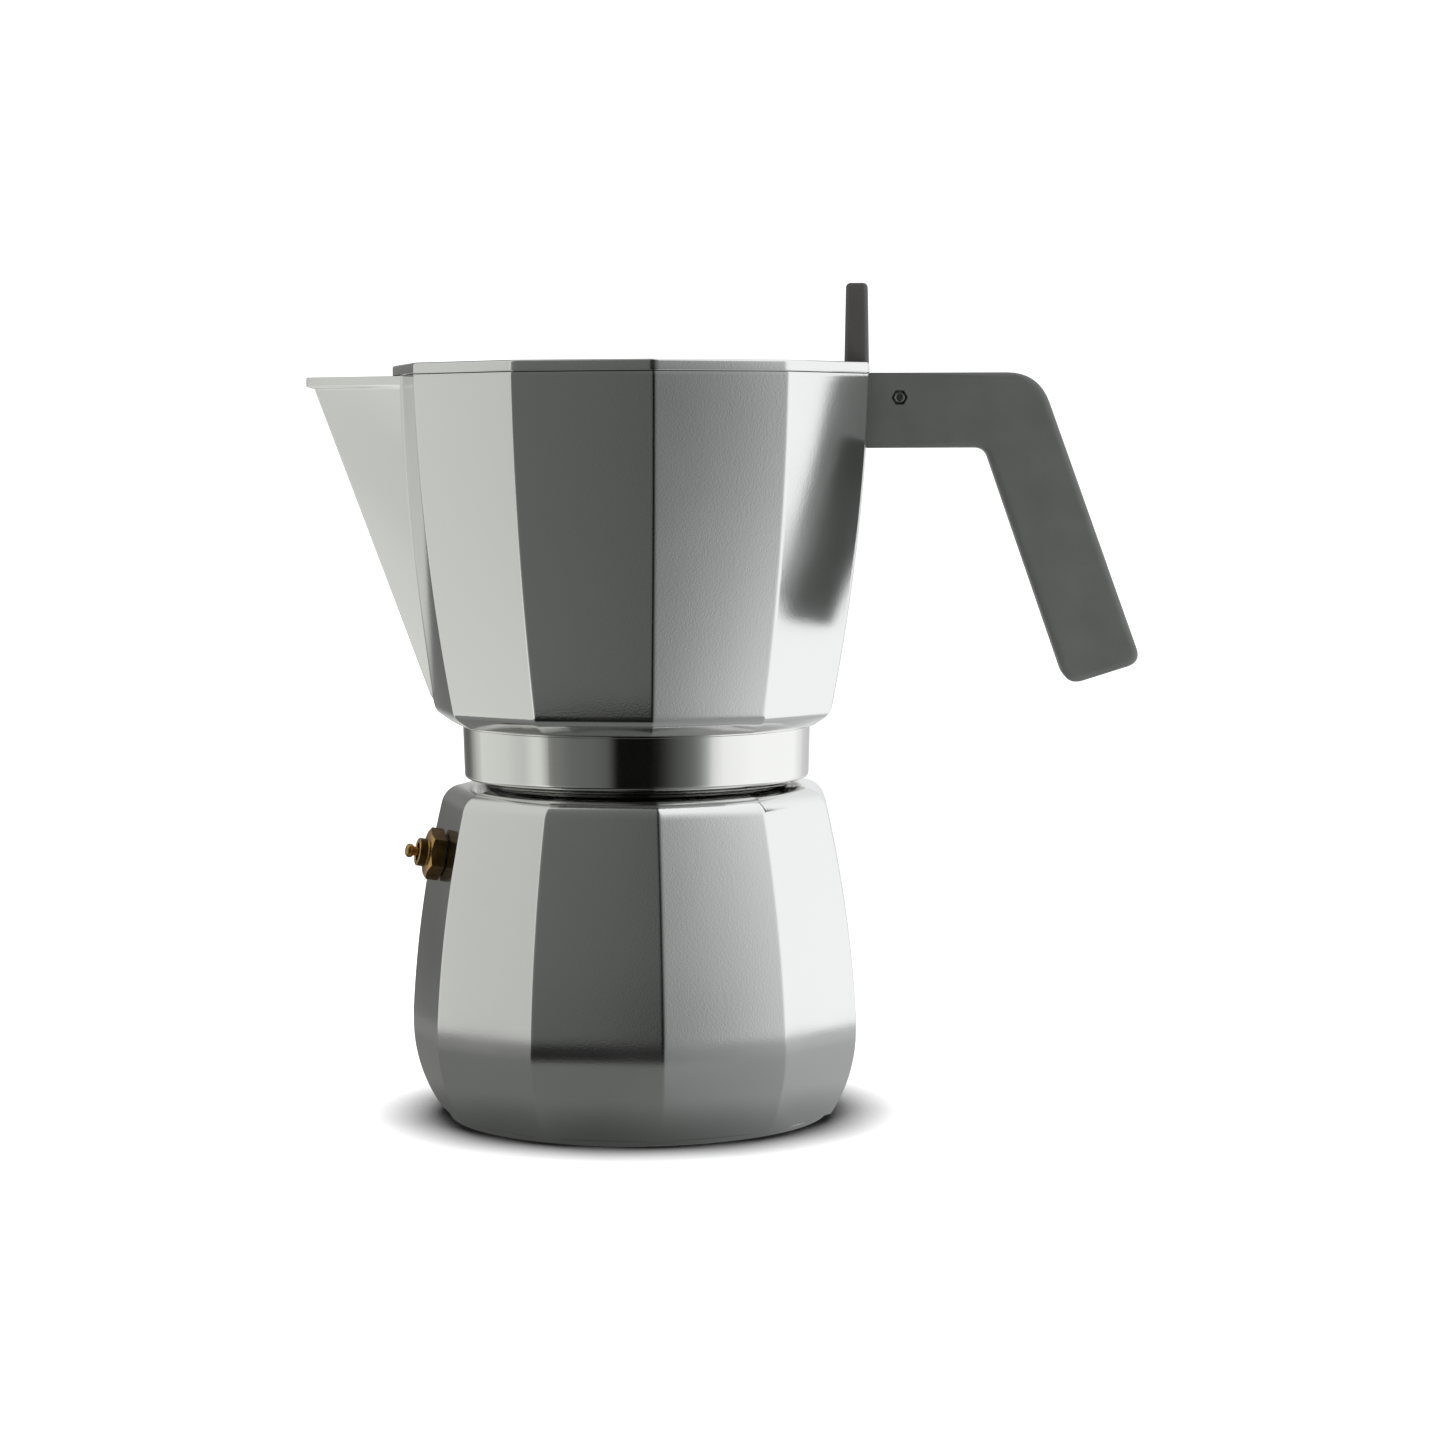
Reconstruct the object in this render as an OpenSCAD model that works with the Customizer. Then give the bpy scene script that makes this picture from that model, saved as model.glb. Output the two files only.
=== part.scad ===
// Stovetop coffee maker with eleven flat sides: boiler, funnel, collector with a spout, lid and handle.
// Origin: centre of the boiler's foot. +Z is up, +X points to the handle and -X to the spout.

/* [Flat-sided body] */
// Number of flat sides of the boiler, the collector and the lid
sides = 11; // [9:2:13]
// Thickness of the cast walls
wall = 3; // [2.6:0.1:3.2]
// How far the boiler's flats are turned against the collector's, in degrees
boiler_turn = 1.8; // [0:0.1:4]

/* [Boiler] */
// Radius of the round foot
foot_r = 45.1; // [43:0.1:46]
// Height of the round foot
foot_h = 1.75; // [1:0.05:2.5]
// Radius over the corners where the boiler is widest
belly_r = 54.8; // [53.5:0.1:56]
// Height of the widest place
belly_z = 22; // [20:0.5:24]
// Height where the shoulder starts to turn in
shoulder_z = 75.5; // [74.5:0.1:76]
// Inside radius of the neck
neck_bore_r = 33.9; // [33.7:0.1:34.1]
// Height of the neck's top face
neck_top = 91; // [90.8:0.05:91]

/* [Safety valve] */
// Distance from the pot's axis to the valve's seat on the wall
valve_reach = 47.85; // [47.6:0.05:48]
// Height of the valve's seat on the wall
valve_z = 64.1; // [62:0.1:66]
// Upward tilt of the valve, in degrees
valve_tilt = 9.5; // [8:0.5:11]
// Hexagon size across flats
hex_af = 10.8; // [9.8:0.1:11]
// How far the stem slides out
stem_travel = 1.8; // [1:0.1:1.9]

/* [Funnel] */
// Outside radius of the coffee cup
cup_r = 33.2; // [32.8:0.1:33.3]
// Height of the perforated floor of the cup
screen_z = 69; // [67:0.5:72]
// Height of the stem's lower end above the table
stem_end_z = 12; // [10:0.5:16]

/* [Collector] */
// Radius over the corners at the rim
rim_r = 58.5; // [58:0.1:59]
// Height of the rim
rim_z = 178; // [177:0.5:179]
// Outside radius of the round screw collar
collar_r = 41.7; // [41.5:0.1:42.5]
// Height of the collar's lower edge
collar_z = 81.75; // [81.5:0.05:82.5]
// Height of the top of the inner column
column_top = 152; // [145:1:158]

/* [Spout] */
// Height where the spout's keel leaves the body
spout_low = 100.6; // [99:0.1:103]
// How far the keel runs outwards for each millimetre of height
spout_rake = 0.3735; // [0.35:0.005:0.4]
// Width of the spout's root along a flat, at the rim
spout_root = 15.3; // [13:0.1:17]
// How far the pouring lip stands out
lip_out = 2.2; // [0.5:0.1:2.4]

/* [Handle and lid] */
// Thickness of the handle
handle_w = 18; // [16:0.5:20]
// Height of the handle's top
handle_top = 178.4; // [178.3:0.05:178.5]
// Height of the underside of the handle's arm
handle_under = 160.6; // [159:0.1:162]
// Place of the hinge bolt, outwards from the axis
hinge_x = 63.4; // [63:0.1:64]
// Height of the hinge bolt
hinge_z = 172.5; // [172.2:0.1:172.8]
// Radius of the hinge bolt
bolt_r = 1; // [0.9:0.05:1.1]
// Height of the lid's top face
lid_top = 180.7; // [180.4:0.1:181]
// Height of the thumb tab's top
tab_top = 199.5; // [194:0.5:201]
// Width of the thumb tab
tab_w = 22; // [18:0.5:25]

/* [Hidden] */
$fn = 96;
over = 1;                       // how far a cutter runs past the face that it opens
flat_factor = cos(180 / sides); // distance to a flat over distance to a corner
neck_r = 36.7;                  // root of the outside thread
neck_crest = 37.7;              // crest of the outside thread
collar_bore = 38.95;            // root of the inside thread
collar_crest = 38.1;            // crest of the inside thread
pitch = 3;                      // rise of both threads in one turn
seat_r = 37.1;                  // bore that holds the gasket
seat_z = 91.8;                  // lower end of that bore
ceiling_z = 96.4;               // ledge over the filter plate's edge
chamber_z = 98;                 // ceiling of the shallow chamber over the filter plate
floor_z = 100;                  // floor inside the collector
body_low = 94.7;                // lowest height of the collector's flats
body_turn_in = 99;              // height where the collector's lower edge starts to turn in
plug_r = 9;                     // radius of the column's plug in the floor
column_base = 13;               // radius of the column on the floor
column_tip = 7.2;               // radius of the column at its top
passage_r = 2.8;                // radius of the passages in the funnel tube and the column
slot_half = 2.2;                // half width of the slot that the lid's arm swings in
slot_end = 70.8;                // outer end of that slot
slot_floor = 169;               // floor of that slot
tang_half = 4.6;                // half width of the cast tang inside the handle
tang_end = 72.8;                // outer end of the tang
tang_low = 163.5;               // underside of the tang
tang_high = 176.5;              // top of the tang
tang_gap = 0.15;                // room between the tang and its pocket
arm_half = 1.8;                 // half width of the lid's hinge arm
hex_low = 0.6;                  // inner face of the valve's hexagon, from the wall
hex_high = 4.2;                 // outer face of the hexagon
hex_turn = 8;                   // turn of the hexagon about its axis, in degrees
shank_r = 3.9;                  // valve's threaded shank
shank_low = -7;                 // inner end of the shank
mouth_r = 3.35;                 // round collar round the valve's mouth
mouth_high = 6.4;               // outer end of that collar
pin_r = 1.1;                    // pin of the valve's stem
thread_crest = 0.25;            // half width of a thread's crest
thread_foot = 0.9;              // half width of a thread's foot
thread_root = 0.6;              // how far a thread reaches into the wall it grows from
cup_sheet = 0.9;                // thickness of the cup's wall
plate_r = 34.5;                 // radius of the filter plate
blade_x = 53.2;                 // middle of the lid's upright blade
blade_t = 2;                    // thickness of that blade
blade_h = 11;                   // height of that blade over the lid
lid_low = rim_z + 0.15;         // underside of the lid

// Radius over the corners of the boiler below and above its widest place
belly_curve = 36.5;
function boiler_r(z) = let (t = abs(z - belly_z))
    z < belly_z ? belly_r - belly_curve + sqrt(belly_curve * belly_curve - t * t)
                : belly_r - 0.0524 * t - 0.001575 * t * t;

// Radius over the corners of the collector
function collector_r(z) = let (t = rim_z - z) rim_r - 0.0333 * t - 0.001074 * t * t;

// Rings [radius, height] of an edge of a given radius that turns in from one slope to another
function edge(start, radius, from, to, steps) =
    [for (i = [0:steps]) let (a = from + (to - from) * i / steps)
        [start[0] + radius * (cos(a) - cos(from)), start[1] + radius * (sin(a) - sin(from))]];

// Outline with round corners: each corner is [x, y, radius]
function rounded(corners) = [for (i = [0:len(corners) - 1])
    let (n = len(corners), c = corners[i], p = corners[(i + n - 1) % n], q = corners[(i + 1) % n],
         u = unit([p[0] - c[0], p[1] - c[1]]), v = unit([q[0] - c[0], q[1] - c[1]]),
         half = acos(u * v) / 2, back = c[2] / tan(half), m = unit(u + v),
         centre = [c[0], c[1]] + m * c[2] / sin(half), a0 = bearing([c[0], c[1]] + u * back - centre),
         turn = wrap(bearing([c[0], c[1]] + v * back - centre) - a0), steps = max(1, ceil(abs(turn) / 9)))
    each [for (k = [0:steps]) let (a = a0 + turn * k / steps) centre + c[2] * [cos(a), sin(a)]]];
function unit(v) = v / norm(v);
function bearing(v) = atan2(v[1], v[0]);
function wrap(a) = a > 180 ? a - 360 : a < -180 ? a + 360 : a;

// Closed solid through rings of points that all have the same number of points
module skin(rings) {
    n = len(rings[0]);
    last = len(rings) - 1;
    polyhedron(
        points = [for (ring = rings) for (p = ring) p],
        faces = concat(
            [[for (k = [0:n - 1]) k]],
            [for (i = [0:last - 1]) for (k = [0:n - 1]) let (a = i * n, j = (k + 1) % n)
                [a + k, a + n + k, a + n + j, a + j]],
            [[for (k = [n - 1:-1:0]) last * n + k]]));
}

// Flat-sided solid: each ring is [radius over the corners, height]
module faceted(rings, turn = 0) {
    skin([for (ring = rings) [for (k = [0:sides - 1]) let (a = 180 + turn + 360 * k / sides)
        [ring[0] * cos(a), ring[0] * sin(a), ring[1]]]]);
}

// Ridge of a screw thread: from root radius to crest radius, over some turns
module thread(root, crest, low, turns) {
    steps = 40;
    way = root < crest ? 1 : -1;
    skin([for (i = [0:steps * turns]) let (a = 360 * i / steps, z = low + pitch * i / steps,
            grow = min(1, i / 6, (steps * turns - i) / 6), r = root + (crest - root) * grow,
            foot = root - way * thread_root)
        [for (p = [[foot, -way * thread_foot], [foot, way * thread_foot],
                [r, way * thread_crest], [r, -way * thread_crest]])
            [p[0] * cos(a), p[0] * sin(a), z + p[1]]]]);
}

// Round ring between two radii and two heights
module ring(outer, inner, low, high) {
    difference() {
        translate([0, 0, low]) cylinder(r = outer, h = high - low);
        translate([0, 0, low - over]) cylinder(r = inner, h = high - low + 2 * over);
    }
}

// Places its children on the valve's axis, with +Z pointing out of the wall
valve_angle = 180 + boiler_turn + 180 / sides;
module on_valve() {
    rotate([0, 0, valve_angle]) translate([valve_reach, 0, valve_z])
        rotate([0, 90 - valve_tilt, 0]) children();
}

// Boiler: flat-sided pressure vessel with a round foot and a threaded neck
module boiler() {
    shoulder = edge([boiler_r(shoulder_z), shoulder_z], 5.5, 12.5, 80, 6);
    lower = [for (i = [0:8]) let (z = foot_h + (belly_z - foot_h) * i / 8) [boiler_r(z), z]];
    upper = [for (i = [1:9]) let (z = belly_z + (shoulder_z - belly_z) * i / 9) [boiler_r(z), z]];
    cavity_low = 6;
    cavity = [for (i = [0:10]) let (z = cavity_low + (shoulder_z - cavity_low) * i / 10)
        [boiler_r(z) * flat_factor - wall, z]];
    color("#b9bbb8") difference() {
        union() {
            cylinder(r = foot_r, h = foot_h + over);
            faceted(concat(lower, upper, [for (i = [1:6]) shoulder[i]], [[41, 80.3]]), boiler_turn);
            translate([0, 0, shoulder_z]) cylinder(r = neck_r, h = neck_top - shoulder_z);
            thread(neck_r, neck_crest, 83, 2);
        }
        rotate_extrude() polygon(concat([[0, cavity_low - 1.5], [36, cavity_low - 1.5]], cavity,
            [[neck_bore_r, shoulder_z + 3], [neck_bore_r, neck_top + over], [0, neck_top + over]]));
        on_valve() translate([0, 0, -12]) cylinder(r = 4, h = 14);
    }
}

// Sealing washer under the valve's hexagon
module valve_washer() {
    color("#2b2a28") on_valve() ring(4.9, shank_r + 0.1, 0.05, hex_low);
}

// Brass valve body: threaded shank, hexagon and round mouth
module valve_body() {
    color("#8a6a34") on_valve() difference() {
        union() {
            translate([0, 0, shank_low]) cylinder(r = shank_r, h = hex_low + over - shank_low);
            intersection() {
                rotate([0, 0, hex_turn]) translate([0, 0, hex_low])
                    cylinder(d = hex_af / cos(30), h = hex_high - hex_low, $fn = 6);
                translate([0, 0, -over]) cylinder(r1 = 8.8, r2 = hex_af / 2 + 0.2, h = hex_high + over);
            }
            translate([0, 0, hex_low + over]) cylinder(r = mouth_r, h = mouth_high - hex_low - over);
        }
        translate([0, 0, -8]) cylinder(r = 3, h = 3.4);
        translate([0, 0, -5]) cylinder(r = 2.6, h = 8.6);
        translate([0, 0, 3]) cylinder(r = pin_r + 0.06, h = 4);
        translate([0, 0, mouth_high - 1]) cylinder(r = 2.3, h = 2);
    }
}

// Pressed-in inner end of the valve, with the inlet hole
module valve_seat() {
    color("#a07c3c") on_valve() ring(2.98, 1.3, shank_low, -4.7);
}

// Sprung stem: piston, pin and flattened ball end
module valve_stem() {
    color("#8f8a80") on_valve() {
        translate([0, 0, -4]) cylinder(r = 2.3, h = 0.9);
        translate([0, 0, -3.2]) cylinder(r = pin_r, h = 10.8);
        rotate_extrude()
            polygon([[0, 7.3], [pin_r, 7.3], [1.6, 7.7], [1.7, 8.2], [1.5, 8.9], [1, 9.2], [0, 9.2]]);
    }
}

// Soft disc on the piston that closes the inlet hole
module valve_seal() {
    color("#a3342a") on_valve() translate([0, 0, -4.62]) cylinder(r = 2.2, h = 0.61);
}

// Coil spring between the piston and the valve body
module valve_spring() {
    turns = 4;
    steps = 16;
    coil_r = 1.9;
    wire_r = 0.3;
    low = stem_travel - 2.7;
    rise = (3.25 - low) / turns;
    color("#c8c8c8") on_valve() skin([for (i = [0:steps * turns]) let (a = 360 * i / steps)
        [for (k = [0:5]) let (b = -60 * k)
            [(coil_r + wire_r * cos(b)) * cos(a), (coil_r + wire_r * cos(b)) * sin(a),
             low + rise * i / steps + wire_r * sin(b)]]]);
}

// Spun aluminium cup with a flat rim, a ledge for the screen and a cone down to the stem
module funnel_cup() {
    cone_z = screen_z - 13;
    color("#c3c5c3") rotate_extrude() polygon([
        [36.4, 92], [36.4, 91.1], [cup_r, 91.1], [cup_r, screen_z - 2.5], [31.2, screen_z - 3.5],
        [5.1, cone_z], [5.1, cone_z - 5], [3.85, cone_z - 5], [3.85, cone_z + 0.5], [30.4, screen_z - 2.4],
        [30.4, screen_z - 0.05], [cup_r - cup_sheet, screen_z - 0.05], [cup_r - cup_sheet, 92]]);
}

// Perforated disc that carries the coffee
module funnel_screen() {
    color("#c9cac8") difference() {
        translate([0, 0, screen_z]) cylinder(r = cup_r - cup_sheet - 0.05, h = 0.8);
        for (row = [1:4])
            for (k = [0:6 * row - 1])
                rotate([0, 0, 60 * k / row]) translate([6.4 * row, 0, screen_z - over])
                    cylinder(r = 0.9, h = 3, $fn = 16);
    }
}

// Stem that the water rises through, pressed into the cup's collar
module funnel_tube() {
    color("#c3c5c3") ring(3.83, passage_r, stem_end_z, screen_z - 13.2);
}

// Flat silicone ring that seals the collector on the funnel's rim
module gasket() {
    color("#d9d5c9") ring(36.9, 28, 92.2, 95.4);
}

// Perforated aluminium plate over the gasket
module filter_plate() {
    color("#c9cac8") difference() {
        union() {
            translate([0, 0, 95.5]) cylinder(r = plate_r, h = 0.8);
            ring(27.6, 26.8, 94.3, 96);
        }
        for (row = [1:4])
            for (k = [0:6 * row - 1])
                rotate([0, 0, 60 * k / row]) translate([6 * row, 0, 94])
                    cylinder(r = 0.8, h = 4, $fn = 16);
    }
}

// One level of the spout: keel point and two root points, moved in by a given wall
function keel_x(z) = -collector_r(spout_low) - spout_rake * (z - spout_low) - lip(z);
function lip(z) = let (t = (z - rim_z + 1.4) / 1.15) abs(t) < 1 ? lip_out * sqrt(1 - t * t) : 0;
function root_w(z) = spout_root * pow(max(0.001, (z - spout_low) / (rim_z - spout_low)), 0.55);
function spout_ring(z, inset, past) = let (
        root = [-collector_r(z) + root_w(z) * sin(180 / sides), root_w(z) * cos(180 / sides)],
        side = unit(root - [keel_x(z) + lip(z), 0]), x = keel_x(z) + inset / side[1],
        tip = [x, 0], reach = norm(root - tip) + past)
    [[tip[0] + reach * side[0], -reach * side[1], z], [tip[0] + reach * side[0], reach * side[1], z],
     [tip[0], 0, z]];

// Collector: flat-sided jug with a spout, a round screw collar below and a tang for the handle
module collector() {
    low_edge = edge([collector_r(body_turn_in), body_turn_in], 3.4, -12, -54, 4);
    outside = concat([[44.3, body_low], [45.1, body_low + 0.3]], [for (i = [4:-1:1]) low_edge[i]],
        [for (i = [0:10]) let (z = body_turn_in + (rim_z - body_turn_in) * i / 10) [collector_r(z), z]]);
    inside = [for (i = [0:10]) let (z = floor_z + (rim_z + over - floor_z) * i / 10)
        [collector_r(min(z, rim_z)) - wall / flat_factor - (i == 0 ? 1.5 : 0), z]];
    spout_high = rim_z - 0.2;
    keel_steps = [for (i = [0:9]) spout_low + 0.5 + (spout_high - 3.2 - spout_low) * i / 9];
    lip_steps = [for (i = [0:6]) spout_high - 2.4 + 2.4 * i / 6];
    color("#b9bbb8") difference() {
        union() {
            faceted(outside);
            skin([for (z = concat(keel_steps, lip_steps)) spout_ring(z, 0, 2)]);
            translate([0, 0, collar_z]) cylinder(r = collar_r, h = floor_z - collar_z - over);
            translate([rim_r * flat_factor - wall, -tang_half, tang_low])
                cube([tang_end - rim_r * flat_factor + wall, 2 * tang_half, tang_high - tang_low]);
        }
        faceted(inside);
        skin([for (i = [0:8]) let (z = 108 + (rim_z + over - 108) * i / 8) spout_ring(z, 2.4, 12)]);
        difference() {
            translate([0, 0, collar_z - over]) cylinder(r = collar_bore, h = seat_z - collar_z + over);
            thread(collar_bore, collar_crest, 83.2, 2);
        }
        translate([0, 0, collar_z]) cylinder(r = seat_r, h = ceiling_z - collar_z);
        translate([0, 0, collar_z]) cylinder(r = 30, h = chamber_z - collar_z);
        cylinder(r = plug_r, h = floor_z + over);
        translate([rim_r * flat_factor - 2 * wall, -slot_half, slot_floor])
            cube([slot_end - rim_r * flat_factor + 2 * wall, 2 * slot_half, rim_z - slot_floor + over]);
        translate([hinge_x, 0, hinge_z]) rotate([90, 0, 0])
            cylinder(r = bolt_r + 0.03, h = 30, center = true);
    }
}

// Tapered column in the middle of the collector, pressed into its floor
module column() {
    outlet_w = 3.2;
    color("#b9bbb8") difference() {
        union() {
            translate([0, 0, chamber_z]) cylinder(r = plug_r - 0.02, h = floor_z - chamber_z + over);
            translate([0, 0, floor_z + 0.02])
                cylinder(r1 = column_base, r2 = column_tip, h = column_top - floor_z);
        }
        translate([0, 0, chamber_z - over]) cylinder(r = passage_r, h = column_top - chamber_z);
        translate([0, 0, column_top - 6]) cylinder(r = 5, h = 10);
        translate([-15, -outlet_w / 2, column_top - 5]) cube([30, outlet_w, 3.5]);
    }
}

// Cap that closes the column above its two outlets
module column_cap() {
    color("#b9bbb8") {
        translate([0, 0, column_top + 0.05]) cylinder(r1 = column_tip, r2 = 5.4, h = 2);
        translate([0, 0, column_top - 1.4]) cylinder(r = 4.95, h = 2);
    }
}

// Handle: an arm along the rim and a slanting grip, in one moulding
module handle() {
    side = rounded([[56.5, handle_top, 1.2], [96.3, handle_top, 8.9], [120.9, 109.6, 3.5],
        [103.2, 104, 4], [83.7, handle_under, 4.5], [55.75, handle_under, 1]]);
    edge_r = 2;
    color("#4f4f4c") difference() {
        for (a = [0, 35, 70])
            let (width = handle_w - 2 * edge_r * (1 - sin(a) / sin(70)))
                rotate([90, 0, 0]) linear_extrude(height = width, center = true)
                    offset(delta = edge_r * (cos(a) - 1)) polygon(side);
        translate([50, -tang_half - tang_gap, tang_low - tang_gap])
            cube([tang_end - 50 + tang_gap, 2 * (tang_half + tang_gap),
                tang_high - tang_low + 2 * tang_gap]);
        translate([50, -slot_half - 0.1, slot_floor])
            cube([slot_end - 50, 2 * slot_half + 0.2, handle_top - slot_floor + over]);
        translate([hinge_x, 0, hinge_z]) rotate([90, 0, 0]) {
            cylinder(r = bolt_r + 0.04, h = 30, center = true);
            translate([0, 0, handle_w / 2 - 2]) cylinder(d = 3.5 / cos(30), h = 4, $fn = 6);
            translate([0, 0, -handle_w / 2 - 2]) cylinder(r = 2.1, h = 3.6);
        }
    }
}

// Bolt that holds the handle and is the lid's hinge pin
module hinge_bolt() {
    color("#9a9a96") translate([hinge_x, 0, hinge_z]) rotate([90, 0, 0]) {
        translate([0, 0, 0.9 - handle_w / 2]) cylinder(r = bolt_r, h = handle_w - 1.5);
        translate([0, 0, 0.45 - handle_w / 2]) cylinder(r1 = 1.6, r2 = 1.95, h = 1.1);
    }
}

// Small nut sunk in the near side of the handle
module hinge_nut() {
    color("#8f8f8b") translate([hinge_x, 0, hinge_z]) rotate([90, 0, 0])
        translate([0, 0, handle_w / 2 - 1.95]) difference() {
            union() {
                cylinder(d = 3.2 / cos(30), h = 0.9, $fn = 6);
                cylinder(r = 1.45, h = 1.5);
            }
            translate([0, 0, -over]) cylinder(r = bolt_r + 0.01, h = 4);
        }
}

// Lid: flat-sided plate with a locating lip, a hinge arm and an upright blade for the tab
module lid() {
    top_edge = edge([rim_r, lid_top - 0.5], 0.5, 0, 90, 3);
    lip_r = rim_r - wall / flat_factor - 1.4;
    arm = rounded([[49.6, 176.7, 0.8], [56.5, 172.6, 2], [61, 169.7, 1], [hinge_x + 2.9, 169.7, 2.8],
        [hinge_x + 2.9, 175.2, 2.5], [56.2, 177.95, 1], [52, 178.9, 0.5], [49.6, 178.9, 0.5]]);
    color("#c4c5c3") difference() {
        union() {
            faceted(concat([[rim_r, lid_low]], top_edge));
            faceted([[lip_r, rim_z - 1.4], [lip_r, lid_low + 0.5]]);
            rotate([90, 0, 0]) linear_extrude(height = 2 * arm_half, center = true) polygon(arm);
            translate([blade_x - blade_t / 2, 4 - tab_w / 2, lid_top - over])
                cube([blade_t, tab_w - 8, blade_h + over]);
        }
        difference() {
            faceted([[lip_r - 1.8, rim_z - 1.4 - over], [lip_r - 1.8, lid_top - 1.5]]);
            translate([48, -arm_half, 170]) cube([10, 2 * arm_half, 20]);
        }
        translate([hinge_x, 0, hinge_z]) rotate([90, 0, 0])
            cylinder(r = bolt_r + 0.06, h = 10, center = true);
    }
}

// Thumb tab: upright plastic grip that slips over the lid's blade
module thumb_tab() {
    side = rounded([[50.3, lid_top + 0.02, 0.3], [56.1, lid_top + 0.02, 0.3], [55.9, tab_top, 1.3],
        [50.7, tab_top, 1.3]]);
    color("#484744") difference() {
        intersection() {
            rotate([90, 0, 0]) linear_extrude(height = tab_w, center = true) polygon(side);
            translate([0, 0, lid_top - over]) linear_extrude(height = 30)
                polygon(rounded([[50, -tab_w / 2, 1.6], [56.4, -tab_w / 2, 1.6], [56.4, tab_w / 2, 1.6],
                    [50, tab_w / 2, 1.6]]));
        }
        translate([blade_x - blade_t / 2 - 0.05, 3.95 - tab_w / 2, lid_top - over])
            cube([blade_t + 0.1, tab_w - 7.9, blade_h + over + 0.1]);
    }
}

boiler();
valve_washer();
valve_body();
valve_spring();
valve_stem();
valve_seal();
valve_seat();
funnel_cup();
funnel_screen();
funnel_tube();
gasket();
filter_plate();
collector();
column();
column_cap();
handle();
hinge_bolt();
hinge_nut();
lid();
thumb_tab();
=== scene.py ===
# %% [markdown]
# # A moka pot with eleven flat sides
# This lesson dresses a stovetop coffee maker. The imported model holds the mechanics: the boiler, the
# safety valve, the funnel, the collector that screws on, the handle and the hinged lid. The cells below
# rebuild the parts that the eye rests on, with round edges and real finishes, round that fixed frame.

# %% Load the frame
import math

import bmesh
import bpy
from mathutils import Matrix, Vector


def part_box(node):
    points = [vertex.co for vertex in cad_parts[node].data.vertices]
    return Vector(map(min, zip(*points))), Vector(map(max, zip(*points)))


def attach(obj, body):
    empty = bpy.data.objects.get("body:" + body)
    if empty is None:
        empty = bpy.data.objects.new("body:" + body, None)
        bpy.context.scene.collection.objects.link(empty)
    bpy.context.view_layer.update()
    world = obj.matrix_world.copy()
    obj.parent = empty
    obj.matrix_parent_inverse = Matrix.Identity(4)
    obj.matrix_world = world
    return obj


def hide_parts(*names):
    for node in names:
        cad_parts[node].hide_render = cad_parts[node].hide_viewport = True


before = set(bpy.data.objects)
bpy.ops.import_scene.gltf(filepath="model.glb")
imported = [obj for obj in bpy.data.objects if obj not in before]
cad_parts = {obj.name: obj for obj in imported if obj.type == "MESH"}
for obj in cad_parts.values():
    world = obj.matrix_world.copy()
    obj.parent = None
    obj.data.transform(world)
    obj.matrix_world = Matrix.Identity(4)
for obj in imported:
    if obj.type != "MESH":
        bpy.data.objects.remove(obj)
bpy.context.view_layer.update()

# %% [markdown]
# ## Sizes
# The pot is measured in millimetres here and scaled to metres when a piece is finished. Its main sizes
# come from the frame, so the looks follow the mechanics. Eleven sides give a corner under the spout and
# a flat behind the handle, which is why the first corner stands at -X.

# %% Sizes from the frame
MM = 0.001
SIDES = 11
STEP = 2 * math.pi / SIDES                   # angle between two corners
FLAT = math.cos(STEP / 2)                    # distance to a flat over distance to a corner
WIDEST = math.sin(5 * STEP / 2)              # share of the corner radius that the width in Y reaches


def frame_mm(node):
    """Lowest and highest corner of a node's box, in millimetres."""
    low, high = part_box(node)
    return low / MM, high / MM


collector_high = frame_mm("collector")[1]
boiler_high = frame_mm("boiler")[1]
handle_half = frame_mm("handle")[1].y        # half the handle's thickness
tab_low, tab_high = frame_mm("thumb_tab")
bolt_low, bolt_high = frame_mm("hinge_bolt")
hinge = (bolt_low + bolt_high) / 2           # middle of the hinge bolt
rim_z = 178.0                                # height of the collector's rim
rim_r = collector_high.y / WIDEST            # corner radius at the rim
lid_top = tab_low.z
wall = 3.0                                   # thickness of the castings
print(f"rim radius over the corners {rim_r:.2f} mm, lid top at {lid_top:.2f} mm")

# %% [markdown]
# ## Helpers for meshes
# Every casting is lofted: a ring of points is extruded again and again, and each new ring is laid on
# the outline that the casting has at that height. One loft gives an outside, a rim and an inside with
# no seam. Corners are soft curves with a narrow strip beside them, so the flats stay flat when shaded.

# %% Mesh helpers


def soft_corner(before, corner, after, reach, steps):
    """Points on a smooth curve that replaces a corner, from reach before it to reach after it."""
    to_before = (before - corner).normalized()
    to_after = (after - corner).normalized()
    start, end = corner + to_before * reach, corner + to_after * reach
    spots = [i / steps for i in range(steps + 1)]
    return [(1 - t) ** 2 * start + 2 * t * (1 - t) * corner + t * t * end for t in spots]


def cuts_along(start, end, spots):
    """Points at given distances from start on the way to end."""
    way = (end - start).normalized()
    return [start + way * s for s in spots]


def loft(bm, rings):
    """Extrudes a closed ring of edges through rings of points, and returns the faces."""
    count = len(rings[0])
    ring = bmesh.ops.create_circle(bm, segments=count, radius=1)["verts"]
    for vert, place in zip(ring, rings[0]):
        vert.co = place
    edges = [e for e in bm.edges if e.verts[0] in ring and e.verts[1] in ring]
    faces = []
    for places in rings[1:]:
        made = bmesh.ops.extrude_edge_only(bm, edges=edges)["geom"]
        new = {v for v in made if isinstance(v, bmesh.types.BMVert)}
        edges = [e for e in made if isinstance(e, bmesh.types.BMEdge)
                 and e.verts[0] in new and e.verts[1] in new]
        faces += [f for f in made if isinstance(f, bmesh.types.BMFace)]
        ring = [next(e.other_vert(v) for e in v.link_edges if e.other_vert(v) in new) for v in ring]
        for vert, place in zip(ring, places):
            vert.co = place
    return faces


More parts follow.
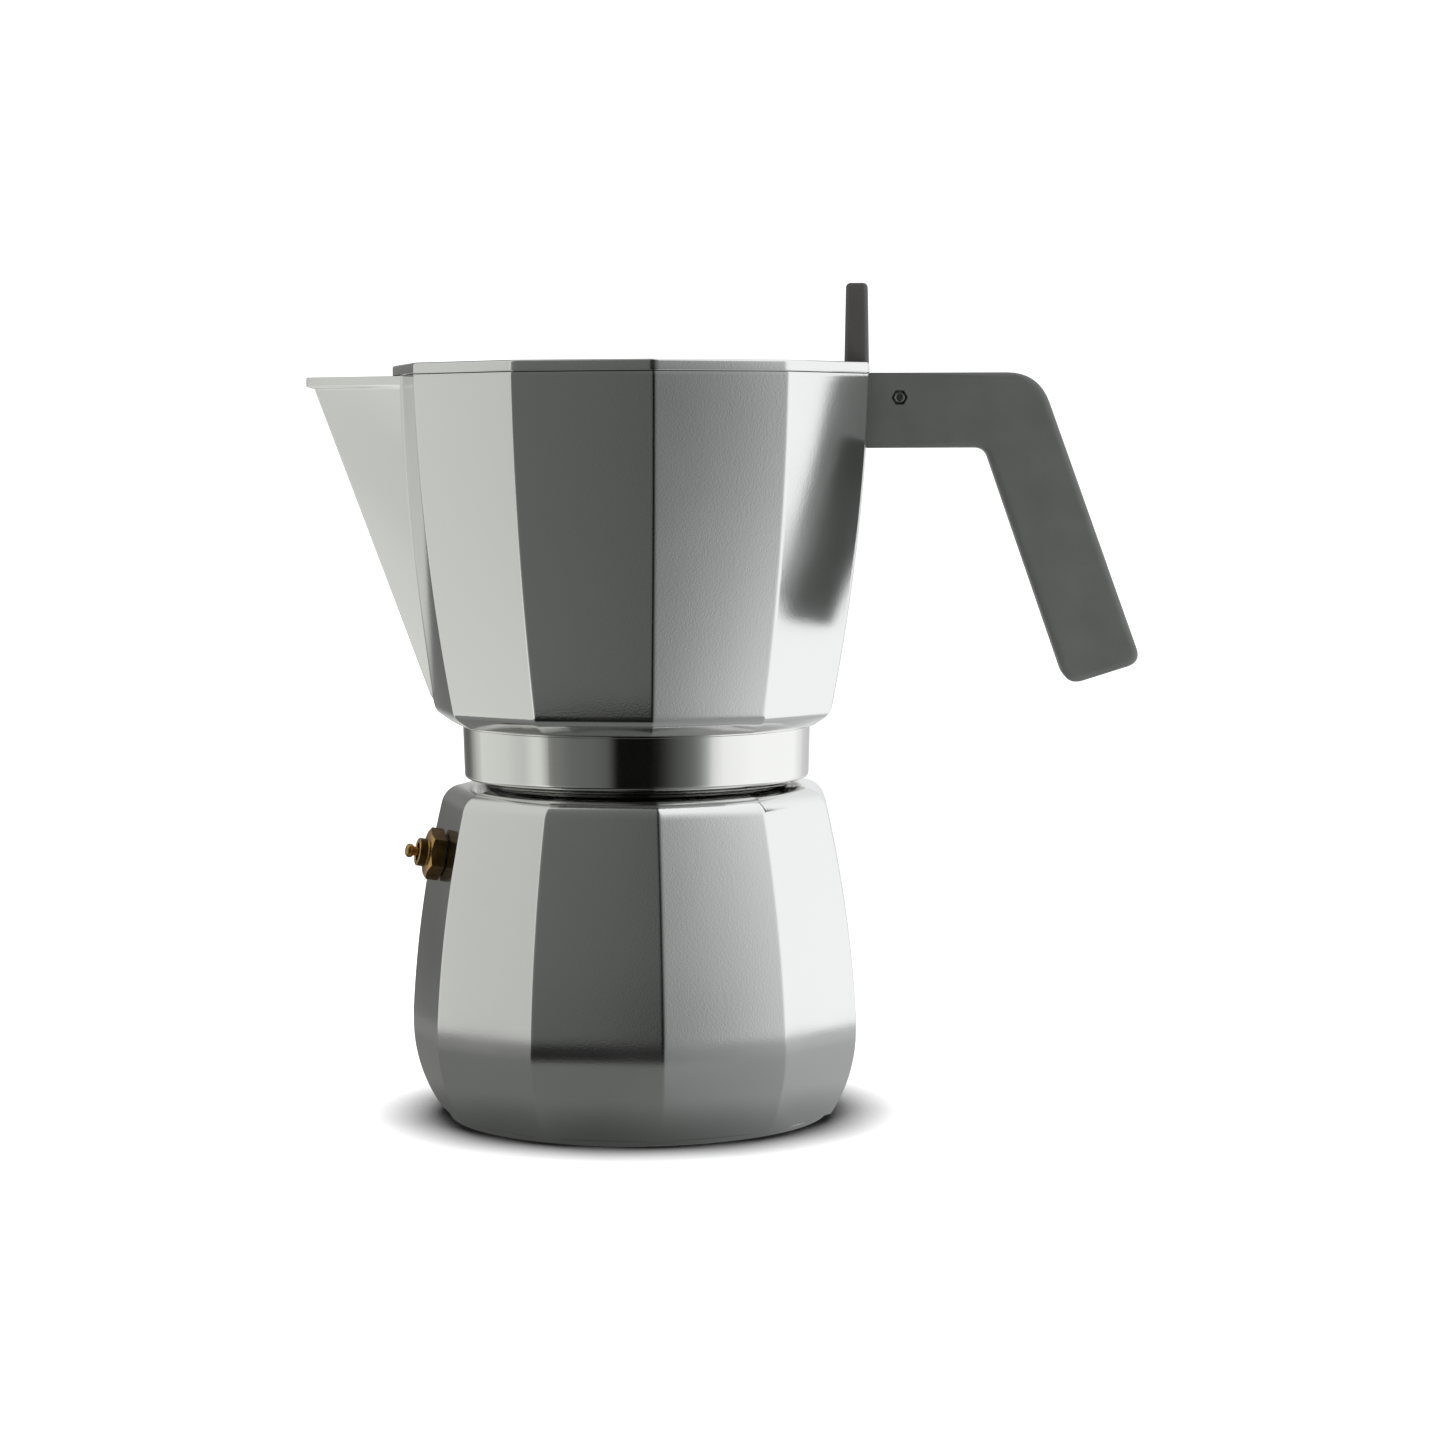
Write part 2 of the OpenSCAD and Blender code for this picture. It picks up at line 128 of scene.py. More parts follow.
def close_middle(bm, height):
    """Merges the tiny ring that a loft leaves round the axis at a height to one point."""
    middle = [v for v in bm.verts if abs(v.co.z - height) < 0.01 and v.co.xy.length < 0.1]
    bmesh.ops.pointmerge(bm, verts=middle, merge_co=(0, 0, height))


def lathe(bm, profile, steps=96):
    """Spins a profile of (radius, height) points round the Z axis."""
    verts = [bm.verts.new((r, 0, z)) for r, z in profile]
    edges = [bm.edges.new(pair) for pair in zip(verts, verts[1:])]
    bmesh.ops.spin(bm, geom=verts + edges, axis=(0, 0, 1), cent=(0, 0, 0), angle=2 * math.pi,
                   steps=steps, use_merge=True)


def softened(profile, reach, steps=3):
    """A profile whose inner corners are soft curves. reach is one size, or one for each point."""
    points = [Vector((r, z, 0)) for r, z in profile]
    sizes = reach if hasattr(reach, "__len__") else [reach] * len(points)
    path = [points[0]]
    for before, corner, after, size in zip(points, points[1:], points[2:], sizes[1:]):
        most = 0.45 * min((before - corner).length, (after - corner).length)
        path += soft_corner(before, corner, after, min(size, most), steps)
    return [(p.x, p.y) for p in path + [points[-1]]]


def extruded(bm, outline, half):
    """A slab of an outline of (x, z) points, from -half to +half in Y."""
    verts = [bm.verts.new((x, -half, z)) for x, z in outline]
    face = bm.faces.new(verts)
    made = bmesh.ops.extrude_face_region(bm, geom=[face])["geom"]
    far_side = [v for v in made if isinstance(v, bmesh.types.BMVert)]
    bmesh.ops.translate(bm, vec=(0, 2 * half, 0), verts=far_side)


def shaded(bm, sharp=40):
    """Merges doubles, turns the faces outwards, and shades smooth except over edges sharper than an angle."""
    bmesh.ops.remove_doubles(bm, verts=bm.verts, dist=1e-4)
    bmesh.ops.dissolve_degenerate(bm, edges=bm.edges, dist=1e-5)
    bmesh.ops.recalc_face_normals(bm, faces=bm.faces)
    for face in bm.faces:
        face.smooth = True
    for edge in bm.edges:
        edge.smooth = edge.calc_face_angle(0) < math.radians(sharp)


def object_of(bm, name):
    """Puts a finished mesh into the scene as an object."""
    mesh = bpy.data.meshes.new(name)
    bm.to_mesh(mesh)
    bm.free()
    made = bpy.data.objects.new(name, mesh)
    bpy.context.scene.collection.objects.link(made)
    return made


def piece(bm, name, body, materials, nodes=(), weighted=False):
    """Makes the object of a finished mesh in millimetres and ties it to the frame."""
    bmesh.ops.scale(bm, vec=(MM, MM, MM), verts=bm.verts)
    made = object_of(bm, name)
    for material in materials:
        made.data.materials.append(material)
    if weighted:
        made.modifiers.new("Even shading", "WEIGHTED_NORMAL").keep_sharp = True
    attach(made, body)
    if nodes:
        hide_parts(*nodes)
    print(f"{name}: {len(made.data.polygons)} faces on {body}")
    return made


def cut(made, cutters):
    """Cuts closed meshes out of a piece and removes the cutters."""
    for cutter in cutters:
        tool = made.modifiers.new("Cut", "BOOLEAN")
        tool.object = cutter
        tool.operation = "DIFFERENCE"
        tool.solver = "EXACT"
        evaluated = made.evaluated_get(bpy.context.evaluated_depsgraph_get())
        result = bpy.data.meshes.new_from_object(evaluated)
        made.modifiers.remove(tool)
        old, made.data = made.data, result
        result.name = old.name
        bpy.data.meshes.remove(old)
        bpy.data.objects.remove(cutter)


def block(low, high):
    """A box between two corners in millimetres, as a cutter."""
    bm = bmesh.new()
    bmesh.ops.create_cube(bm, size=1)
    bmesh.ops.scale(bm, vec=[(h - l) * MM for l, h in zip(low, high)], verts=bm.verts)
    bmesh.ops.translate(bm, vec=[(h + l) / 2 * MM for l, h in zip(low, high)], verts=bm.verts)
    return object_of(bm, "cutter")


# %% [markdown]
# ## Helpers for materials
# A finish is a small graph of nodes. One function adds a node with its settings and links, another turns
# the sRGB hex of a paint chart into the linear numbers that light is counted in.

# %% Material helpers


def linear(hex_code):
    """Linear RGBA of an sRGB hex colour."""
    parts = [int(hex_code[i:i + 2], 16) / 255 for i in (1, 3, 5)]
    return [c / 12.92 if c <= 0.04045 else ((c + 0.055) / 1.055) ** 2.4 for c in parts] + [1.0]


def add(tree, kind, inputs=None, **settings):
    """Adds a node. inputs maps a socket to a value or to another node's output socket."""
    node = tree.nodes.new(kind)
    for key, value in settings.items():
        setattr(node, key, value)
    for key, value in (inputs or {}).items():
        if isinstance(value, bpy.types.NodeSocket):
            tree.links.new(value, node.inputs[key])
        else:
            node.inputs[key].default_value = value
    return node


def finish_of(name, **constants):
    """A new material with a Principled shader. Returns it with its tree, shader and object coordinates."""
    material = bpy.data.materials.new(name)
    material.use_nodes = True
    tree = material.node_tree
    shader = tree.nodes["Principled BSDF"]
    for key, value in constants.items():
        shader.inputs[key.replace("_", " ")].default_value = value
    place = add(tree, "ShaderNodeTexCoord").outputs["Object"]
    return material, tree, shader, place


def grain(tree, place, size_mm, detail=2.0, stretch=(1, 1, 1)):
    """Noise whose spots are about size_mm across, stretched by a factor along each axis."""
    scale = [1 / s for s in stretch]
    turned = add(tree, "ShaderNodeMapping", {"Vector": place, "Scale": scale}).outputs["Vector"]
    return add(tree, "ShaderNodeTexNoise", {"Vector": turned, "Scale": 1 / (size_mm * MM), "Detail": detail})


def vary(tree, socket, noise, low, high):
    """Lets a noise move a socket from low to high. Noise seldom leaves the range from 0.3 to 0.7."""
    share = add(tree, "ShaderNodeMapRange", {"Value": noise.outputs["Fac"], "From Min": 0.3,
                                             "From Max": 0.7, "To Min": low, "To Max": high})
    tree.links.new(share.outputs["Result"], socket)


def emboss(tree, shader, noise, strength, depth_mm):
    """Gives the surface the relief of a noise."""
    bump = add(tree, "ShaderNodeBump", {"Height": noise.outputs["Fac"], "Strength": strength,
                                        "Distance": depth_mm * MM})
    tree.links.new(bump.outputs["Normal"], shader.inputs["Normal"])


# %% [markdown]
# ## Cast aluminium
# The boiler, collector and lid are pressure die castings in an aluminium silicon alloy, ground and then
# blasted with fine beads. The beads leave dimples of a tenth of a millimetre, too fine to show, so they
# are drawn about four times as coarse. They break up the edge of every reflection. A slow change of
# roughness stands for the hand that held the part to the polishing wheel.

# %% Cast aluminium


def cast_aluminium():
    """The boiler, jug and lid as they leave the bead blaster."""
    material, tree, shader, place = finish_of("bead blasted cast aluminium", Metallic=1.0)
    shader.inputs["Base Color"].default_value = linear("#dddddc")
    vary(tree, shader.inputs["Roughness"], grain(tree, place, 22, detail=1.0), 0.11, 0.16)
    emboss(tree, shader, grain(tree, place, 0.42), 0.4, 0.025)
    return material


cast = cast_aluminium()
print("made", cast.name)

# %% [markdown]
# ## Turned aluminium
# The screw collar is turned on a lathe after casting. The tool leaves fine rings round the axis, which
# smear a reflection up and down but keep it sharp sideways. Noise that is squeezed along Z makes them.

# %% Turned aluminium


def turned_aluminium():
    """The screw collar and the threads as they leave the lathe."""
    material, tree, shader, place = finish_of("lathe turned aluminium", Metallic=1.0)
    shader.inputs["Base Color"].default_value = linear("#e0e0dd")
    rings = grain(tree, place, 0.25, stretch=(200, 200, 1))
    vary(tree, shader.inputs["Roughness"], rings, 0.07, 0.11)
    emboss(tree, shader, rings, 0.25, 0.01)
    return material


turned = turned_aluminium()
print("made", turned.name)

# %% [markdown]
# ## Spun aluminium sheet
# The funnel is spun from sheet and the two strainers are stamped. They are duller and whiter than the
# casting, with the faint rings of the spinning roller.

# %% Spun aluminium


def spun_aluminium():
    """The funnel and the strainers."""
    material, tree, shader, place = finish_of("spun aluminium sheet", Metallic=1.0)
    shader.inputs["Base Color"].default_value = linear("#d2d3d0")
    rings = grain(tree, place, 0.8, stretch=(60, 60, 1))
    vary(tree, shader.inputs["Roughness"], rings, 0.28, 0.4)
    emboss(tree, shader, rings, 0.3, 0.02)
    return material


spun = spun_aluminium()
print("made", spun.name)

# %% [markdown]
# ## Valve brass
# The safety valve is turned from free-cutting brass. Heat and steam tarnish it: the flats of the
# hexagon go a dark brown. The faces at its outer end that look along its axis, and the stem, are given a
# lighter, yellower brass.

# %% Valve brass


def valve_brass(name, light, dark, low, high):
    """Brass in patches of two colours, with a roughness from low to high."""
    material, tree, shader, place = finish_of(name, Metallic=1.0)
    patches = grain(tree, place, 2.2, detail=4.0)
    colour = add(tree, "ShaderNodeMix", {"A": linear(light), "B": linear(dark)}, data_type="RGBA")
    vary(tree, colour.inputs["Factor"], patches, 0.0, 1.0)
    tree.links.new(colour.outputs["Result"], shader.inputs["Base Color"])
    vary(tree, shader.inputs["Roughness"], patches, low, high)
    emboss(tree, shader, grain(tree, place, 0.25), 0.3, 0.02)
    return material


brass = valve_brass("tarnished brass", "#7a6136", "#4c3b20", 0.34, 0.48)
# A lighter, yellower brass for the faces that look along the valve's axis and for the stem.
end_face_brass = valve_brass("lighter brass of the end faces", "#d8ad68", "#a17c42", 0.22, 0.34)
print("made", brass.name, "and", end_face_brass.name)

# %% [markdown]
# ## Zinc plated steel
# The hinge bolt, its nut and the valve spring are plated steel: a cool grey metal with a soft sheen.

# %% Plated steel


def plated_steel():
    """The hinge bolt, its nut and the spring."""
    material, tree, shader, place = finish_of("zinc plated steel", Metallic=1.0)
    shader.inputs["Base Color"].default_value = linear("#b4b5b3")
    vary(tree, shader.inputs["Roughness"], grain(tree, place, 1.0, detail=3.0), 0.25, 0.4)
    return material


steel = plated_steel()
print("made", steel.name)

# %% [markdown]
# ## Moulded nylon
# The handle and the thumb tab are polyamide 6 with glass fibre, moulded in a tool with a fine spark
# eroded texture. The texture gives a dry, even grey with almost no highlight on the flats and a soft
# one along the round edges. Its grain of about 0.1 mm is drawn at 0.35 mm so that it shows.

# %% Moulded nylon


def moulded_nylon(name, colour):
    """Spark eroded nylon whose colour drifts by 7 percent either way."""
    material, tree, shader, place = finish_of(name, IOR=1.53)
    darker, lighter = ([c * drift for c in linear(colour)[:3]] + [1.0] for drift in (0.93, 1.07))
    tint = add(tree, "ShaderNodeMix", {"A": darker, "B": lighter}, data_type="RGBA")
    vary(tree, tint.inputs["Factor"], grain(tree, place, 9, detail=3.0), 0.0, 1.0)
    tree.links.new(tint.outputs["Result"], shader.inputs["Base Color"])
    spark = grain(tree, place, 0.35)
    vary(tree, shader.inputs["Roughness"], spark, 0.36, 0.46)
    emboss(tree, shader, spark, 0.35, 0.03)
    return material


handle_nylon = moulded_nylon("moulded nylon, handle grey", "#444644")
tab_nylon = moulded_nylon("moulded nylon, tab grey", "#3a3937")
print("made", handle_nylon.name, "and", tab_nylon.name)

# %% [markdown]
# ## Silicone rubber and fibre
# The gasket is food grade silicone, cloudy and slightly see-through, so a little light travels under its
# skin. The valve's seal is the same rubber in red. The washer under the hexagon is black fibre.

# %% Soft seals


def silicone(name, colour, glow):
    """Matt rubber. glow is the share of light that travels under its skin."""
    material, tree, shader, place = finish_of(name, IOR=1.41, Subsurface_Weight=glow)
    shader.inputs["Subsurface Radius"].default_value = (2 * MM, 1.5 * MM, 1.2 * MM)
    shader.inputs["Subsurface Scale"].default_value = 1.0
    shader.inputs["Base Color"].default_value = linear(colour)
    vary(tree, shader.inputs["Roughness"], grain(tree, place, 1.5, detail=4.0), 0.42, 0.6)
    return material


white_silicone = silicone("white silicone rubber", "#dad6ca", 0.25)
red_silicone = silicone("red silicone rubber", "#9c2f26", 0.1)
fibre = silicone("black vulcanised fibre", "#1f1d1b", 0.0)
print("made", white_silicone.name, red_silicone.name, fibre.name)

# %% [markdown]
# ## Outline of the castings
# At any height the pot's outline is a polygon of eleven sides. The corner at -X can grow into the spout:
# it becomes two roots on the neighbouring flats and a keel further out. The inside is the same polygon
# moved in by the wall, so the spout's channel opens into the jug by itself.

# %% Outline with or without a spout
COLUMNS = 8                                  # cuts along each flat between its two edge strips
STRIP = 0.5                                  # width of the strip beside a corner, in mm
SLOT_HALF = 2.2                              # half width of the slot for the lid's arm
CROWN = 0.18                                 # how far polishing leaves the middle of a flat proud


def polygon(radius, spout=None):
    """Corners of the outline. spout is (keel distance, root width), and gives three corners at -X."""
    corners = [Vector((radius * math.cos(a), radius * math.sin(a), 0))
               for a in (STEP / 2 + k * STEP for k in range(SIDES))]
    tip = corners[SIDES // 2]
    keel, root = spout or (radius, 1.5)
    sides = [tip + (corners[SIDES // 2 + d] - tip).normalized() * root for d in (-1, 1)]
    return corners[:SIDES // 2] + [sides[0], Vector((-keel, 0, 0)), sides[1]] + corners[SIDES // 2 + 1:]


def moved_in(corners, depth):
    """The same outline moved inwards by a depth."""
    count = len(corners)
    moved = []
    for i, corner in enumerate(corners):
        before, after = corners[i - 1], corners[(i + 1) % count]
        normals = [Vector((way.y, -way.x, 0)) for way in
                   ((corner - before).normalized(), (after - corner).normalized())]
        share = (normals[0] + normals[1]) / (1 + normals[0].dot(normals[1]))
        moved.append(corner - share * depth)
    return moved


def outline(corners, height, corner_reach=0.4, keel_reach=0.5, root_reach=0.35, crown=0.0):
    """Ring of points round the corners, with soft corners, edge strips and slightly crowned flats."""
    count = len(corners)
    special = {SIDES // 2: (root_reach, 2), SIDES // 2 + 1: (keel_reach, 4), SIDES // 2 + 2: (root_reach, 2)}
    arcs = [soft_corner(corners[i - 1], corners[i], corners[(i + 1) % count],
                        *special.get(i, (corner_reach, 4))) for i in range(count)]
    ring = []
    for i, arc in enumerate(arcs):
        ring += arc
        end = arcs[(i + 1) % count][0]
        length = (end - arc[-1]).length
        strip = min(STRIP, length / 4)
        if i in (SIDES // 2, SIDES // 2 + 1):
            spots = [strip, length / 2, length - strip]
        else:
            gap = SLOT_HALF if i == count - 1 else length / 14
            steps = [k / (COLUMNS // 2) for k in range(COLUMNS // 2 + 1)]
            first = [strip + (length / 2 - gap - strip) * s for s in steps]
            spots = first + [length - s for s in reversed(first)]
        side = cuts_along(arc[-1], end, spots)
        if length > 12 and crown:
            out = Vector((end.y - arc[-1].y, arc[-1].x - end.x, 0)) / length
            side = [p + out * crown * (1 - (2 * s / length - 1) ** 2) for p, s in zip(side, spots)]
        ring += side
    return [Vector((p.x, p.y, height)) for p in ring]


BEARINGS = [math.atan2(p.y, p.x) for p in outline(polygon(45.0), 0)]


def round_ring(radius, height):
    """A circle whose points stand at the bearings of the flat-sided outline."""
    return [Vector((radius * math.cos(a), radius * math.sin(a), height)) for a in BEARINGS]


print("points in a ring:", len(BEARINGS))

# %% [markdown]
# ## Boiler
# The boiler swells to its widest place 22 mm above the table, leans in to a soft shoulder, and ends in a
# round threaded neck. The foot is a thin round plinth. The inside is round and about 3 mm away.

# %% Boiler
BELLY_R, BELLY_Z, BELLY_CURVE = 54.8, 22.0, 36.5
BELLY_BAND = 3.0                             # height of the upright band at the widest place
FOOT_R, FOOT_H = 46.3, 1.6                   # round plinth under the flats
BOILER_LEAN, BOILER_BOW = 0.0524, 0.00183    # how the side leans in above the belly, and how that grows
SHOULDER_Z = 75.5                            # height where the side starts to turn in
NECK_TOP = boiler_high.z
BOILER_TURN = math.radians(1.8)              # how far the boiler is screwed past the collector's corners
THREAD_PITCH = 3.0


def boiler_r(z):
    """Corner radius of the boiler at a height."""
    if z < BELLY_Z:
        return BELLY_R - BELLY_CURVE + math.sqrt(BELLY_CURVE ** 2 - (BELLY_Z - z) ** 2)
    t = max(0, z - BELLY_Z - BELLY_BAND)
    return BELLY_R - BOILER_LEAN * t - BOILER_BOW * t * t


def edge_arc(radius, height, size, start, end, steps):
    """Profile points of an edge that turns in, with slopes in degrees."""
    angles = [math.radians(start + (end - start) * i / steps) for i in range(steps + 1)]
    first = angles[0]
    return [(radius + size * (math.cos(a) - math.cos(first)),
             height + size * (math.sin(a) - math.sin(first))) for a in angles]


def heights(low, high, steps):
    """Evenly spaced heights from low to high."""
    return [low + (high - low) * i / steps for i in range(steps + 1)]


def boiler_mesh():
    """The whole boiler in one loft, from the middle of the foot up, over the neck and down to the floor."""
    foot = [(0.05, 0), (20, 0), (FOOT_R - 0.9, 0), (FOOT_R - 0.45, 0.1), (FOOT_R - 0.1, 1.15),
            (FOOT_R - 0.2, 1.35), (FOOT_R, FOOT_H)]
    lower = [(boiler_r(z), z) for z in [FOOT_H, 2.2] + heights(3, BELLY_Z, 16)]
    upper = [(boiler_r(z), z) for z in heights(BELLY_Z + BELLY_BAND, SHOULDER_Z, 17)]
    shoulder = edge_arc(boiler_r(SHOULDER_Z), SHOULDER_Z, 5.6, 12.5, 84, 11)[1:] + [(41.4, 80.15)]
    neck = [(38.9, 80.3), (37.2, 80.35), (36.9, 80.7), (36.7, 81.5), (36.7, NECK_TOP - 0.5),
            (36.3, NECK_TOP), (34.3, NECK_TOP), (33.9, NECK_TOP - 0.4), (33.9, 79.2)]
    inside = [(boiler_r(z) * FLAT - wall, z) for z in reversed(heights(8, SHOULDER_Z, 12))]
    inside = [(min(r, 38 + (79.2 - z) * 1.6), z) for r, z in inside]
    base = [(42.5, 6.2), (38.0, 4.7), (34, 4.5), (0.05, 4.5)]
    bm = bmesh.new()
    rings = [round_ring(r, z) for r, z in foot]
    rings += [outline(polygon(r), z, corner_reach=0.45, crown=CROWN) for r, z in lower + upper + shoulder]
    rings += [round_ring(r, z) for r, z in neck + inside + base]
    loft(bm, rings)
    close_middle(bm, 0)
    close_middle(bm, 4.5)
    bmesh.ops.rotate(bm, matrix=Matrix.Rotation(BOILER_TURN, 3, "Z"), verts=bm.verts)
    shaded(bm)
    return bm


def screw_ridge(bm, root, crest, low, turns):
    """The ridge of a screw thread: a small trapezium spun upwards round the axis."""
    deep = -0.5 if crest > root else 0.5
    corners = [(root + deep, -0.9), (crest, -0.25), (crest, 0.25), (root + deep, 0.9)]
    verts = [bm.verts.new((r, 0, low + z)) for r, z in corners]
    face = bm.faces.new(verts)
    steps = 64 * turns
    bmesh.ops.spin(bm, geom=[face], axis=(0, 0, 1), cent=(0, 0, 0), angle=2 * math.pi * turns,
                   dvec=(0, 0, THREAD_PITCH * turns / steps), steps=steps)


bm = boiler_mesh()
piece(bm, "boiler_casting", "boiler", [cast], ["boiler"])

bm = bmesh.new()
screw_ridge(bm, root=36.7, crest=37.7, low=83.0, turns=2)
shaded(bm, 30)
piece(bm, "boiler_neck_thread", "boiler", [turned])

# %% [markdown]
# ## Safety valve
# A brass hexagon of about 11 mm stands on a flat beside the spout. Its front edge is turned to a cone,
# which leaves the curved corners that every nut has. A stem with a flattened ball end comes out of a
# round mouth, and it slides out when the valve blows.

# %% Valve on its own axis
VALVE_REACH, VALVE_Z = 47.85, 64.1
VALVE_TILT = math.radians(9.5)
VALVE_BEARING = math.pi + BOILER_TURN + STEP / 2
valve_place = (Matrix.Rotation(VALVE_BEARING, 4, "Z") @ Matrix.Translation((VALVE_REACH, 0, VALVE_Z))
               @ Matrix.Rotation(math.pi / 2 - VALVE_TILT, 4, "Y"))


def on_valve(bm):
    """Moves a mesh from the Z axis to the valve's own axis."""
    bmesh.ops.transform(bm, matrix=valve_place, verts=bm.verts)
    shaded(bm, 35)
    return bm


def hexagon_nut(across, low, high, cone):
    """A hexagon whose front corners are turned off to a cone."""
    bm = bmesh.new()
    bmesh.ops.create_circle(bm, cap_ends=True, segments=6, radius=across / 2 / math.cos(math.pi / 6))
    bmesh.ops.translate(bm, vec=(0, 0, low), verts=bm.verts)
    made = bmesh.ops.extrude_face_region(bm, geom=bm.faces[:])["geom"]
    top = [v for v in made if isinstance(v, bmesh.types.BMVert)]
    bmesh.ops.translate(bm, vec=(0, 0, high - low), verts=top)
    bmesh.ops.rotate(bm, matrix=Matrix.Rotation(HEX_TURN, 3, "Z"), verts=bm.verts)
    flat_edges = [e for e in bm.edges if abs(e.verts[0].co.z - e.verts[1].co.z) < 0.1]
    bmesh.ops.subdivide_edges(bm, edges=flat_edges, cuts=7, use_grid_fill=False)
    face = max(bm.faces, key=lambda f: f.calc_center_median().z)
    bmesh.ops.inset_region(bm, faces=[face], thickness=0.9)
    for vert in bm.verts:
        drop = (vert.co.xy.length - cone) * math.tan(math.radians(30))
        if vert.co.z > (low + high) / 2 and drop > 0:
            vert.co.z -= drop
    return bm


def pick_end_faces(bm, low):
    """Gives the faces that look along the valve's axis, past a height, the second material."""
    bm.normal_update()
    for face in bm.faces:
        if abs(face.normal.z) > 0.35 and face.calc_center_median().z > low:
            face.material_index = 1


HEX_TURN = math.radians(38)                  # where the spanner left the hexagon
HEX_ACROSS, HEX_LOW, HEX_HIGH = 10.8, 0.6, 4.2
SHANK_R = 3.9                                # the valve's threaded shank, screwed into the boiler
bm = hexagon_nut(HEX_ACROSS, HEX_LOW, HEX_HIGH, cone=5.0)
lathe(bm, softened([(SHANK_R, -7), (SHANK_R, HEX_LOW + 0.2)], 0.1), 48)
lathe(bm, softened([(SHANK_R, HEX_HIGH - 0.1), (3.5, HEX_HIGH), (3.35, HEX_HIGH + 0.3), (3.35, 6.2),
                    (3.1, 6.4), (2.4, 6.4), (2.2, 6.25), (2.2, 5.4), (1.2, 5.4)], 0.08), 48)
bmesh.ops.recalc_face_normals(bm, faces=bm.faces)
# Faces that look along the axis, past 3.5 mm, get the lighter brass.
pick_end_faces(bm, 3.5)
piece(on_valve(bm), "valve_hexagon", "boiler", [brass, end_face_brass], ["valve_body"])

bm = bmesh.new()
lathe(bm, softened([(0, -4.0), (2.3, -4.0), (2.3, -3.1), (1.1, -3.1), (1.1, 7.0), (1.15, 7.35), (1.55, 7.6),
                    (1.72, 8.1), (1.6, 8.75), (1.1, 9.15), (0.4, 9.2), (0, 9.2)], 0.3, 4), 40)
piece(on_valve(bm), "valve_stem_ball", "valve_stem", [end_face_brass], ["valve_stem"])

# %% [markdown]
# ## Collector
# The jug is one casting. Its flats lean outwards up to the rim, and the corner at -X grows into a spout
# whose keel runs straight up to a pouring lip. The underside turns in to the round screw collar. The
# loft starts in the bore of the floor, runs under the collar, up the outside, over the rim and down the
# inside, and closes on itself.

# %% Collector outline at each height
JUG_LEAN, JUG_BOW = 0.0333, 0.001074         # how the side leans in below the rim, and how that grows
SPOUT_LOW, SPOUT_RAKE, SPOUT_ROOT = 100.6, 0.3735, 15.3
LIP_OUT, LIP_Z, LIP_RISE = 2.0, 175.25, 0.6  # how far the lip stands out, its foot, and its rise
KEEL_FILL = 0.4                              # keeps the keel's line where its sharp edge is rounded
TURN_IN = 99.0                               # height where the lower edge starts to turn in
FLOOR_Z = 100.0


def collector_r(z):
    """Corner radius of the collector at a height."""
    t = rim_z - z
    return rim_r - JUG_LEAN * t - JUG_BOW * t * t


def spout_at(z):
    """Keel distance and root width at a height."""
    rise = (z - SPOUT_LOW) / (rim_z - SPOUT_LOW)
    if rise <= 0:
        return collector_r(z), 1.5
    lip = LIP_OUT * min(1, max(0, (z - LIP_Z) / LIP_RISE)) ** 0.6
    keel = max(collector_r(SPOUT_LOW) + SPOUT_RAKE * (min(z, LIP_Z) - SPOUT_LOW) + lip, collector_r(z))
    return keel + KEEL_FILL, max(1.5, SPOUT_ROOT * rise ** 0.55)


def outside(z, inset=0.0):
    """Ring of the jug's outside at a height."""
    keel, root = spout_at(z)
    corners = polygon(collector_r(z), (keel, root))
    blunt = min(0.8, 0.4 + 0.01 * max(0, z - SPOUT_LOW))
    corners = moved_in(corners, inset) if inset else corners
    return outline(corners, z, corner_reach=0.42, keel_reach=blunt, crown=CROWN)


def inside(z, inset=wall):
    """Ring of the jug's inside at a height. The spout's channel ends under the lip."""
    keel, root = spout_at(min(z, rim_z - 2.6))
    corners = moved_in(polygon(collector_r(z), (keel, root)), inset)
    return outline(corners, z, corner_reach=1.2, keel_reach=1.0, root_reach=0.6)


